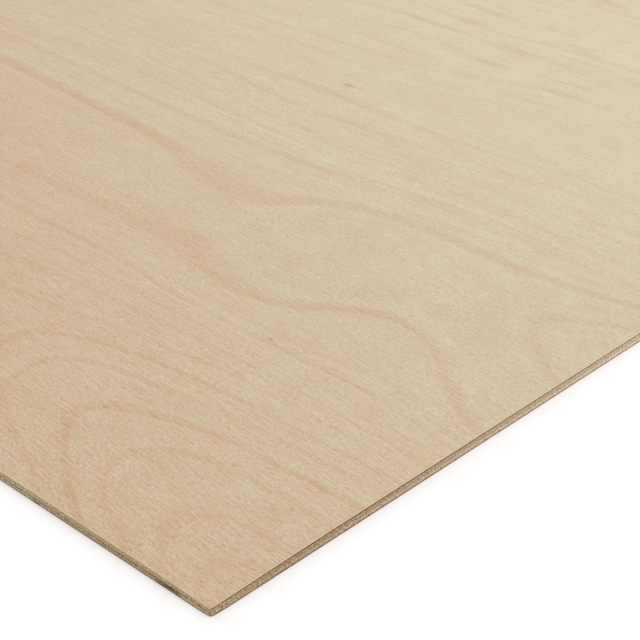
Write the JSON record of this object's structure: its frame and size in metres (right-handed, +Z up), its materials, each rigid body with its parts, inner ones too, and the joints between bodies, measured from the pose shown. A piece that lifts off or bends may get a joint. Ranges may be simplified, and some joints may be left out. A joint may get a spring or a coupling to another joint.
{
  "type": "plywood sheet",
  "caption": "Thin flat plywood sheet with pale beech faces over a thick cross-grained core, sawn square, for linings, backs, boxes and furniture work.",
  "frame": {"origin": "centre of the back face, which the sheet rests on", "axes": "+X along the length and the grain of the outer plies, +Y across the width, +Z up out of the good face"},
  "size_m": [2.5, 1.25, 0.004],
  "materials": {
    "beech_face_veneer": "sanded, unfinished",
    "core_veneer": "sawn, unfinished",
    "beech_back_veneer": "sanded, unfinished"
  },
  "bodies": {
    "root": {"face_veneer": "beech_face_veneer", "core_ply": "core_veneer", "back_veneer": "beech_back_veneer"}
  },
  "joints": []
}
